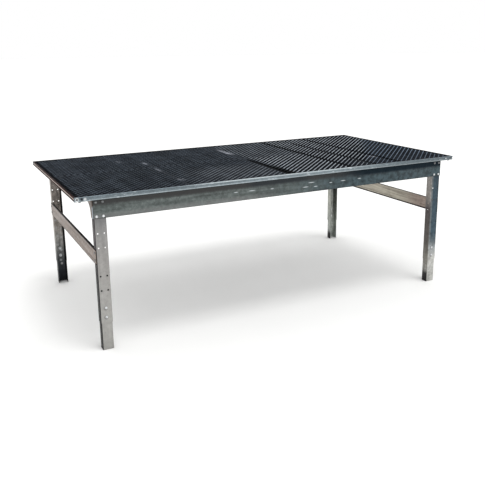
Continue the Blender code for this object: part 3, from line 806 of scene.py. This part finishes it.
class BENCH_OT_rails(bpy.types.Operator):
    """Fold the side rails, with their bolt holes"""

    bl_idname = "bench.rails"
    bl_label = "Side rails"

    def execute(self, context):
        size_of = sizes()
        height = RAIL_HIGH.z - RAIL_LOW.z
        flange = RAIL_HIGH.y - RAIL_LOW.y
        length = RAIL_HIGH.x - RAIL_LOW.x
        sheet = size_of.frame_sheet
        section = [(flange, 0), (0, 0), (0, -height), (flange, -height)]

        metal = galvanised("rail_zinc", colours().rail, "x", spangle=75, contrast=1.2, patina=0.25,
                           dress=self.weather_and_light)
        for side, sign in SIDE_SIGN.items():
            passing, holes = bmesh.new(), bmesh.new()
            for end in (-1, 1):
                start, stop = sorted((end * (LEG_LOW.x - 2 * size_of.sheet), end * length))
                box_cut(passing, (start, sheet - 0.0001, -height - 0.01),
                        (stop, 2 * flange, -height + sheet + size_of.bend))
                for offset, z in RAIL_BOLTS:
                    hole_cut(holes, (end * LEG_X + offset, 0, z - RAIL_HIGH.z), (0, 1, 0), size_of.bolt_hole)
            matrix = stood(0, sign * -RAIL_LOW.y, 0 if sign < 0 else 180, RAIL_HIGH.z)
            mesh = settle(bent_sheet(f"{side}_rail", section, length, sheet, size_of.bend), matrix,
                          [passing, holes], size_of.edge)
            add_piece(f"{side}_rail_folded", mesh, metal, replaces=[f"{side}_rail"])
        return {"FINISHED"}

    def weather_and_light(self, finish):
        """Painted blue reflection on the right, pale low on the left, bright dashes, a painted shadow of the
        trim along the top, and dark along the foot.
        """
        blue_reflection = finish.shade(colours().rail_blue, finish.ramp(finish.noise(30, 5), 0.3, 0.7), 0.55, 1.9)
        finish.lay(finish.ramp("x", -0.30, 0.55), blue_reflection)
        tide = finish.ramp("z", RAIL_LOW.z + 0.012, RAIL_LOW.z + 0.035, 0.30, 0)
        finish.lay(finish.times(tide, finish.ramp("x", -0.30, 0.0, 1, 0)), (0.30, 0.30, 0.30))
        for x, z, reach in RAIL_DASHES:
            finish.lay(finish.spot((x, -0.601, z), (reach, 0.01, 0.0038)), (0.62, 0.67, 0.70), 0.75)
        # Painted shadow of the trim along the rail's top, deeper and bluer on the right
        right = finish.ramp("x", 0.18, 0.55)
        deeper = finish.times(finish.ramp("z", RAIL_HIGH.z - 0.048, RAIL_HIGH.z - 0.026), right)
        eaves = finish.most(finish.ramp("z", RAIL_HIGH.z - 0.041, RAIL_HIGH.z - 0.017), deeper)
        shaded = finish.mix(right, (0.034, 0.034, 0.034), (0.008, 0.014, 0.020))
        shaded = finish.mix(finish.within("x", -0.20, 0.08, 0.10), shaded, (0.016, 0.020, 0.024))
        finish.lay(eaves, shaded, 0.94)
        finish.deaden(finish.times(eaves, finish.ramp(right, 0, 1, 0.30, 0.97)))
        finish.lay(finish.within("z", RAIL_LOW.z - 0.01, RAIL_LOW.z + 0.0025, 0.002), (0.03, 0.03, 0.03), 0.7)


class BENCH_OT_joists(bpy.types.Operator):
    """Finish the joists under the lattice"""

    bl_idname = "bench.joists"
    bl_label = "Joists"

    def execute(self, context):
        metal = galvanised("joist_zinc", colours().joist, "y", spangle=80, patina=0.3)
        for name, node in frame["nodes"].items():
            if "joist" in name:
                node.data.materials.clear()
                node.data.materials.append(metal)
        return {"FINISHED"}


def folded_upright(name, side, end, low, high, cuts):
    """Fold a channel that stands at a corner of the bench, with its web outwards."""
    size_of = sizes()
    half, depth, height = (high.x - low.x) / 2, high.y - low.y, high.z - low.z
    section = [(-half, depth), (-half, 0), (half, 0), (half, depth)]
    blank = bent_sheet(name, section, height, size_of.sheet, size_of.bend)
    blank.data.transform(Matrix.Translation((0, 0, low.z + height / 2)) @ UPRIGHT)
    matrix = stood(END_SIGN[end] * LEG_X, SIDE_SIGN[side] * -low.y, 0 if side == "front" else 180)
    return settle(blank, matrix, cuts, size_of.edge)


class BENCH_OT_legs(bpy.types.Operator):
    """Fold the four upper legs, with their rows of bolt holes"""

    bl_idname = "bench.legs"
    bl_label = "Upper legs"

    def execute(self, context):
        size_of = sizes()
        rows = SPARE_FOOT_HOLES + RAIL_BOLTS + [(0, bolt.z) for bolt in FOOT_BOLTS]
        for side, end in CORNERS:
            holes, side_holes = bmesh.new(), bmesh.new()
            for spots, radius in ((rows, size_of.bolt_hole), (SPARE_BRACE_HOLES, size_of.spare_hole)):
                for x, z in spots:
                    hole_cut(holes, (x, 0, z), (0, 1, 0), radius)
            for bolt in BRACE_BOLTS:
                place = (0, bolt.y - LEG_LOW.y, bolt.z)
                hole_cut(side_holes, place, (1, 0, 0), size_of.bolt_hole, 2 * LEG_WIDTH)
            node = f"{side}_{end}_leg"
            mesh = folded_upright(node, side, end, LEG_LOW, LEG_HIGH, [holes, side_holes])
            add_piece(f"{node}_folded", mesh, leg_finish(side, end), replaces=[node])
        return {"FINISHED"}


PALE, NAVY, DEEP_SHADE = (0.44, 0.44, 0.42), (0.016, 0.024, 0.034), (0.005, 0.005, 0.006)

# Painted reflection and shade on each leg, from the floor up: its web, then the flange that faces the bench's
# left
LEG_RUNS = {
    ("front", "left"): (
        ((0.0, (0.36, 0.355, 0.34)), (0.14, (0.36, 0.355, 0.34)), (0.50, (0.32, 0.31, 0.30)),
         (0.62, (0.28, 0.275, 0.27)), (0.70, (0.20, 0.20, 0.20)), (0.80, (0.12, 0.12, 0.12))),
        ((0.0, DEEP_SHADE), (0.50, DEEP_SHADE), (0.62, (0.05, 0.04, 0.045)), (0.80, DEEP_SHADE))),
    ("front", "right"): (
        ((0.0, PALE), (0.17, PALE), (0.23, (0.32, 0.34, 0.35)), (0.28, (0.10, 0.125, 0.14)),
         (0.34, (0.048, 0.080, 0.104)), (0.70, (0.040, 0.062, 0.080)), (0.80, NAVY)),
        ((0.0, DEEP_SHADE), (0.055, (0.02, 0.02, 0.02)), (0.085, (0.32, 0.315, 0.29)), (0.15, (0.27, 0.26, 0.23)),
         (0.22, (0.17, 0.16, 0.14)), (0.30, (0.12, 0.108, 0.10)), (0.50, (0.085, 0.072, 0.072)),
         (0.56, (0.26, 0.24, 0.225)), (0.80, (0.32, 0.31, 0.295)))),
    ("back", "left"): (
        ((0.0, (0.012, 0.013, 0.016)), (0.07, (0.018, 0.021, 0.026)), (0.15, (0.055, 0.060, 0.064)),
         (0.22, (0.19, 0.19, 0.188)), (0.31, (0.33, 0.322, 0.305)), (0.40, (0.30, 0.27, 0.242)),
         (0.60, (0.28, 0.248, 0.225)), (0.80, (0.24, 0.215, 0.20))),
        ((0.0, DEEP_SHADE), (0.80, (0.012, 0.012, 0.013)))),
    ("back", "right"): (
        ((0.0, (0.50, 0.53, 0.50)), (0.34, (0.46, 0.48, 0.44)), (0.44, (0.27, 0.29, 0.29)),
         (0.80, (0.13, 0.14, 0.14))),
        ((0.0, DEEP_SHADE), (0.045, (0.03, 0.03, 0.03)), (0.075, (0.34, 0.36, 0.34)), (0.34, (0.38, 0.39, 0.35)),
         (0.80, (0.16, 0.17, 0.17)))),
}

# Marks on the back legs, from the leg's left edge (right leg) or its middle (left leg), and their height
BACK_RIGHT_MARKS = ((0.012, 0.36), (0.010, 0.31), (0.016, 0.25), (0.012, 0.19), (0.020, 0.15), (0.012, 0.09),
                    (0.026, 0.05), (0.016, 0.03))
BACK_LEFT_MARKS = ((-0.017, 0.43), (0.014, 0.43), (-0.016, 0.38), (0.016, 0.37), (-0.01, 0.32), (0.014, 0.31),
                   (-0.014, 0.26), (0.008, 0.22), (0.0, 0.15), (0.004, 0.125))


def leg_finish(side, end, foot=False):
    """The zinc of one leg, or of its extension, each with its own painted reflection and shade."""
    corner = (side, end)
    low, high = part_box(f"{side}_{end}_leg_extension" if foot else f"{side}_{end}_leg")

    def base(finish):
        # The flange, or on the back left leg the band along its right edge, is painted dark as shade
        flange = finish.within("x", low.x - 0.01, low.x + 0.0025, 0.0008)
        if corner == ("back", "left"):
            flange = finish.within("x", high.x - 0.0040, high.x + 0.01, 0.0010)
        web_run, flange_run = LEG_RUNS[corner]
        finish.tone = finish.mix(flange, finish.run("z", web_run), finish.run("z", flange_run))
        if end == "left":
            finish.deaden(finish.times(flange, 0.85))
        if corner == ("front", "right"):
            # Painted shade along the front right web's right edge, and a painted highlight near its left edge
            rim = finish.within("x", high.x - 0.0045, high.x + 0.01, 0.001)
            finish.lay(finish.times(rim, finish.ramp("z", 0.24, 0.30)), NAVY)
            finish.lay(finish.within("x", low.x + 0.006, low.x + 0.014, 0.004), (0.45, 0.45, 0.42), 0.22)
        if corner == ("back", "right"):
            shade = finish.within("x", high.x - 0.012, high.x + 0.01, 0.003)
            finish.lay(finish.times(shade, finish.ramp("z", 0.10, 0.30, 0.20, 0.60)), (0.045, 0.050, 0.050))

    def dress(finish):
        middle = (low.x + high.x) / 2

        def marks(places, x, y, reach, paint, strength):
            for across, z in places:
                finish.lay(finish.spot((x + across, y, z), (reach, 0.02, reach)), paint, strength)

        # Painted shadows under the heads of the extension bolts
        if side == "front" and not foot:
            bolt_shadows = [(-0.003, bolt.z - 0.003) for bolt in FOOT_BOLTS]
            marks(bolt_shadows, middle, low.y, 0.0165, (0.10, 0.10, 0.10), 0.55)
        # Painted shade where the front left leg's spare holes show the extension behind them
        if foot and corner == ("front", "left"):
            marks(SPARE_FOOT_HOLES, middle, low.y, 0.0085, DEEP_SHADE, 1.0)
        elif corner == ("back", "right"):
            marks(BACK_RIGHT_MARKS, low.x, high.y - 0.01, 0.011, (0.80, 0.82, 0.80), 0.9)
        elif corner == ("back", "left"):
            marks(BACK_LEFT_MARKS, middle, high.y, 0.012, (0.42, 0.43, 0.43), 0.75)

    speckle = {("front", "left"): 0.35, ("back", "left"): 1.2}.get(corner, 1.0)
    name = f"{side}_{end}_{'foot' if foot else 'leg'}_zinc"
    return galvanised(name, base, "z", spangle=90, contrast=speckle, patina=0.12, streak=0.10, dress=dress)


class BENCH_OT_extensions(bpy.types.Operator):
    """Fold the leg extensions, which slide inside the legs"""

    bl_idname = "bench.extensions"
    bl_label = "Leg extensions"

    def execute(self, context):
        size_of = sizes()
        travel = frame["joints"][0]["range_m"][1]
        low, high = (bolt.z for bolt in FOOT_BOLTS)
        for side, end in CORNERS:
            slot = bmesh.new()
            slot_cut(slot, low, high + travel, size_of.bolt_hole, size_of.sheet)
            foot = f"{side}_{end}_foot"
            mesh = folded_upright(foot, side, end, FOOT_LOW, FOOT_HIGH, [slot])
            add_piece(f"{foot}_folded", mesh, leg_finish(side, end, foot=True), body=foot,
                      replaces=[f"{side}_{end}_leg_extension"])
        return {"FINISHED"}


class BENCH_OT_gussets(bpy.types.Operator):
    """Cut the knee gussets, with their round inner edges"""

    bl_idname = "bench.gussets"
    bl_label = "Knee gussets"

    def execute(self, context):
        foot, depth = GUSSET_LOW.z, GUSSET_HIGH.y - GUSSET_LOW.y
        top = GUSSET_HIGH.z - foot
        start = GUSSET_LOW.y - LEG_LOW.y
        back = start + depth
        edge = 0.004
        radius = back - edge - LEG_DEPTH
        under_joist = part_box("right_end_joist")[0].z - foot
        knee = (LEG_DEPTH + radius, under_joist - radius)

        def eaves(finish):
            # Painted shade under the top, and a painted highlight along the edge by the leg
            finish.lay(finish.ramp("z", 0.72, 0.79, 0, 0.6), (0.075, 0.052, 0.040))
            away = finish.math("ABSOLUTE", finish.axes["y"])
            strip = finish.ramp(away, -GUSSET_LOW.y - 0.014, -GUSSET_LOW.y - 0.008)
            finish.lay(finish.times(strip, finish.ramp("z", 0.785, 0.770)), (0.40, 0.46, 0.52), 0.8)
            rise = finish.math("SUBTRACT", finish.axes["z"], foot + knee[1])
            inward = finish.math("SUBTRACT", -LEG_LOW.y - knee[0], away)
            square = finish.math("ADD", finish.times(rise, rise), finish.times(inward, inward))
            rim = finish.ramp(finish.math("SQRT", square), radius + 0.009, radius + 0.006)
            finish.deaden(finish.times(rim, 0.9))
            finish.lay(rim, (0.008, 0.007, 0.007), 0.9)

        metal = galvanised("gusset_zinc", [0.8 * c for c in colours().brace], "z", dress=eaves)
        curve = arc(knee, radius, 90, 180, 20)
        outline = [(start, top), (back, top), (back, under_joist)] + curve + [(LEG_DEPTH, 0), (start, 0)]
        for side, end in CORNERS:
            holes = bmesh.new()
            for y, z in ((LEG_DEPTH / 2, 0.022), (LEG_DEPTH + radius * 0.8, top - 0.011)):
                hole_cut(holes, (0, y, z), (1, 0, 0), sizes().bolt_hole * 0.8)
            x = END_SIGN[end] * (GUSSET_LOW.x + GUSSET_HIGH.x) / 2
            matrix = stood(x, SIDE_SIGN[side] * -LEG_LOW.y, 0 if side == "front" else 180, foot)
            node = f"{side}_{end}_gusset"
            blank = solid_bar(node, outline, GUSSET_HIGH.x - GUSSET_LOW.x)
            mesh = settle(blank, matrix, [holes], sizes().edge)
            add_piece(f"{node}_plate", mesh, metal, replaces=[node])
        return {"FINISHED"}


class BENCH_OT_braces(bpy.types.Operator):
    """Fold the end braces, with their bolt holes"""

    bl_idname = "bench.braces"
    bl_label = "End braces"

    def execute(self, context):
        size_of = sizes()
        height, flange = BRACE_HIGH.z - BRACE_LOW.z, BRACE_HIGH.x - BRACE_LOW.x
        length, sheet = BRACE_HIGH.y - BRACE_LOW.y, size_of.frame_sheet
        section = [(flange, height), (0, height), (0, 0), (flange, 0)]
        for end, sign in END_SIGN.items():
            paler = 1.7 if end == "right" else 1.0
            metal = galvanised(f"{end}_brace_zinc", [paler * c for c in colours().brace], "y", 70, 0.8,
                               streak=0.2, dress=self.weather_and_light)
            passing, holes = bmesh.new(), bmesh.new()
            for way in (-1, 1):
                start, stop = sorted((way * -(LEG_HIGH.y + 0.0003), way * length))
                box_cut(passing, (start, sheet - 0.0001, -0.01), (stop, 4 * flange, 2 * height))
                for bolt in BRACE_BOLTS:
                    hole_cut(holes, (way * bolt.y, 0, bolt.z - BRACE_LOW.z), (0, 1, 0), size_of.bolt_hole)
            matrix = stood(sign * BRACE_HIGH.x, 0, 90 * sign, BRACE_LOW.z)
            mesh = settle(bent_sheet(f"{end}_brace", section, length, sheet, size_of.bend), matrix,
                          [passing, holes], size_of.edge)
            add_piece(f"{end}_end_brace_folded", mesh, metal, replaces=[f"{end}_end_brace"])
        return {"FINISHED"}

    def weather_and_light(self, finish):
        """Paler far along the right end, grained lengthways, with painted shade on its lips."""
        far = finish.times(finish.ramp("y", -0.42, -0.22), finish.ramp("x", 0, 1))
        finish.lay(far, (0.54, 0.52, 0.43), 0.75)
        finish.lay(finish.ramp(finish.noise(85, 4, (1, 0.035, 1)), 0.4, 0.66), (0.140, 0.112, 0.095), 0.55)
        # Painted shade on both lips
        lips = finish.most(finish.within("z", BRACE_LOW.z - 0.01, BRACE_LOW.z + 0.0055, 0.001),
                           finish.within("z", BRACE_HIGH.z - 0.0052, BRACE_HIGH.z + 0.01, 0.0010))
        finish.deaden(finish.times(lips, 0.95))
        finish.lay(lips, colours().shade_black, 0.95)


class BENCH_OT_fasteners(bpy.types.Operator):
    """Fit the bolts and nuts"""

    bl_idname = "bench.fasteners"
    bl_label = "Bolts and nuts"

    def execute(self, context):
        size_of = sizes()
        zinc = plain_zinc("bolt_zinc", colours().zinc)
        # A darker copy of the zinc, painted shade for fasteners in shade, such as the rails' upper bolts
        # under the trim
        dark = plain_zinc("shaded_bolt_zinc", [0.28 * c for c in colours().zinc])
        shadowed_zinc = plain_zinc("shadowed_bolt_zinc", [2 * c for c in colours().shade_black])
        leg_grip = size_of.frame_sheet + size_of.sheet + 0.0003
        for side, end in CORNERS:
            corner = f"{side}_{end}"
            out = (0, SIDE_SIGN[side], 0)
            for number in (1, 2):
                node = f"{corner}_extension_bolt_{number}"
                seat = centre_of(node)
                seat.y = SIDE_SIGN[side] * -LEG_LOW.y
                self.bolt(f"{node}_dressed", seat, out, 2 * size_of.sheet, zinc, replaces=[node])
                node = f"{corner}_brace_bolt_{number}"
                seat = centre_of(node)
                seat.x = END_SIGN[end] * BRACE_HIGH.x
                self.bolt(f"{node}_dressed", seat, (END_SIGN[end], 0, 0), leg_grip, dark, replaces=[node])
            for number, (offset, z) in enumerate(RAIL_BOLTS, 1):
                seat = (END_SIGN[end] * LEG_X + offset, SIDE_SIGN[side] * -RAIL_LOW.y, z)
                # The upper row of rail bolts, under the trim, gets the shaded zinc
                self.bolt(f"{corner}_rail_bolt_{number}", seat, out, leg_grip, zinc if number % 2 else dark)
        for side, end in CORNERS:
            self.corner_screws(side, end, zinc, dark, shadowed_zinc)
        return {"FINISHED"}

    def corner_screws(self, side, end, zinc, dark, shadowed_zinc):
        """Two small screws in the trim's groove at a corner, and one under its ledge."""
        middle = (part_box("front_trim")[0].z + TOP_HIGH.z) / 2
        wall = PANEL_LOW.y - 0.0013
        out = (0, SIDE_SIGN[side], 0)

        def seat(inset, y, z):
            return END_SIGN[end] * (TOP_HIGH.x - inset), SIDE_SIGN[side] * y, z

        self.screw(f"{side}_{end}_trim_screw_1", seat(0.014, -wall, middle), out, dark, ring=True)
        self.screw(f"{side}_{end}_trim_screw_2", seat(0.055, -wall, middle), out, zinc)
        under = seat(0.029, -wall - 0.008, middle - 0.0119)
        # The screw under the ledge sits in shade, painted near black
        self.screw(f"{side}_{end}_ledge_screw", under, (0, 0, -1), shadowed_zinc, scale=1.7)

    def screw(self, name, seat, out, material, ring=False, scale=1.0):
        """A low round head; with ring, its middle is a socket."""
        head, crown = 0.0048, 0.0031
        profile = [(0, crown), (0.0022, crown * 0.94)]
        if ring:
            profile = [(0, 0.0008), (0.0022, 0.0008), (0.0024, crown)]
        profile += [(0.0040, crown * 0.72), (head, crown * 0.3), (head, -0.0005), (0, -0.0005)]
        bm = spun([(radius * scale, height * scale) for radius, height in profile], 18)
        self.fit(smoothed(mesh_of(name, bm), 35), name, seat, out, material)

    def bolt(self, name, seat, out, grip, material, replaces=()):
        self.fit(bolt_mesh(name, grip), name, seat, out, material, replaces)

    def fit(self, mesh, name, seat, out, material, replaces=()):
        """Put a fastener with its head on a point, facing out."""
        turn = Vector(out).to_track_quat("Z", "Y").to_matrix().to_4x4()
        mesh.transform(Matrix.Translation(seat) @ turn)
        add_piece(name, mesh, material, replaces=replaces)


def spun(profile, steps):
    """Spin a profile of (radius, height) points about Z."""
    bm = bmesh.new()
    verts = [bm.verts.new((radius, 0, z)) for radius, z in profile]
    edges = [bm.edges.new(pair) for pair in zip(verts, verts[1:])]
    bmesh.ops.spin(bm, geom=verts + edges, cent=(0, 0, 0), axis=(0, 0, 1), dvec=(0, 0, 0),
                   angle=math.tau, steps=steps, use_merge=True)
    bmesh.ops.remove_doubles(bm, verts=bm.verts, dist=1e-6)
    return bm


def bolt_mesh(name, grip):
    """A domed bolt along -Z with its head on z = 0, a washer and a hexagon nut."""
    size_of = sizes()
    head, shank, tail = size_of.bolt_head, size_of.bolt, grip + 0.0108
    crown = 0.0042
    washer, nut = 0.0012, 0.0065
    dome = [math.radians(degrees) for degrees in range(15, 91, 15)]
    profile = [(0, crown)] + [(head * math.sin(a), crown * math.cos(a) * 0.85 + crown * 0.15) for a in dome]
    profile += [(head, 0), (shank, 0)]
    threads = 8
    pitch = (tail - grip) / threads
    for turn in range(threads):
        z = -grip - turn * pitch
        profile += [(shank, z), (shank * 0.86, z - pitch / 2)]
    profile += [(shank * 0.8, -tail), (0, -tail)]
    bm = spun(profile, 20)
    for sides, radius, start, depth in ((20, size_of.nut * 1.18, grip, washer),
                                        (6, size_of.nut, grip + washer, nut)):
        bmesh.ops.create_cone(bm, cap_ends=True, segments=sides, radius1=radius * 0.94, radius2=radius,
                              depth=depth, matrix=Matrix.Translation((0, 0, -start - depth / 2)))
    return smoothed(mesh_of(name, bm), 30)


# ---- Panel and registration --------------------------------------

STEPS = (BENCH_OT_stage, BENCH_OT_lattice, BENCH_OT_trim, BENCH_OT_rails, BENCH_OT_joists, BENCH_OT_legs,
         BENCH_OT_extensions, BENCH_OT_gussets, BENCH_OT_braces, BENCH_OT_fasteners)


class BENCH_PT_sidebar(bpy.types.Panel):
    """Lists the steps that build the bench, and its settings"""

    bl_idname = "BENCH_PT_sidebar"
    bl_label = "Potting bench"
    bl_space_type = "VIEW_3D"
    bl_region_type = "UI"
    bl_category = "Potting bench"

    def draw(self, context):
        layout = self.layout
        for step in STEPS:
            layout.operator(step.bl_idname)
        for group in (context.scene.bench_sizes, context.scene.bench_colours, context.scene.bench_stage):
            box = layout.box()
            for name in group.__annotations__:
                box.prop(group, name)


CLASSES = (BenchSizes, BenchColours, BenchStage, *STEPS, BENCH_PT_sidebar)


def register():
    for each in CLASSES:
        bpy.utils.register_class(each)
    bpy.types.Scene.bench_sizes = PointerProperty(type=BenchSizes)
    bpy.types.Scene.bench_colours = PointerProperty(type=BenchColours)
    bpy.types.Scene.bench_stage = PointerProperty(type=BenchStage)


def unregister():
    del bpy.types.Scene.bench_sizes
    del bpy.types.Scene.bench_colours
    del bpy.types.Scene.bench_stage
    for each in reversed(CLASSES):
        bpy.utils.unregister_class(each)


def main():
    register()
    for step in STEPS:
        group, name = step.bl_idname.split(".")
        getattr(getattr(bpy.ops, group), name)()


if __name__ == "__main__":
    main()
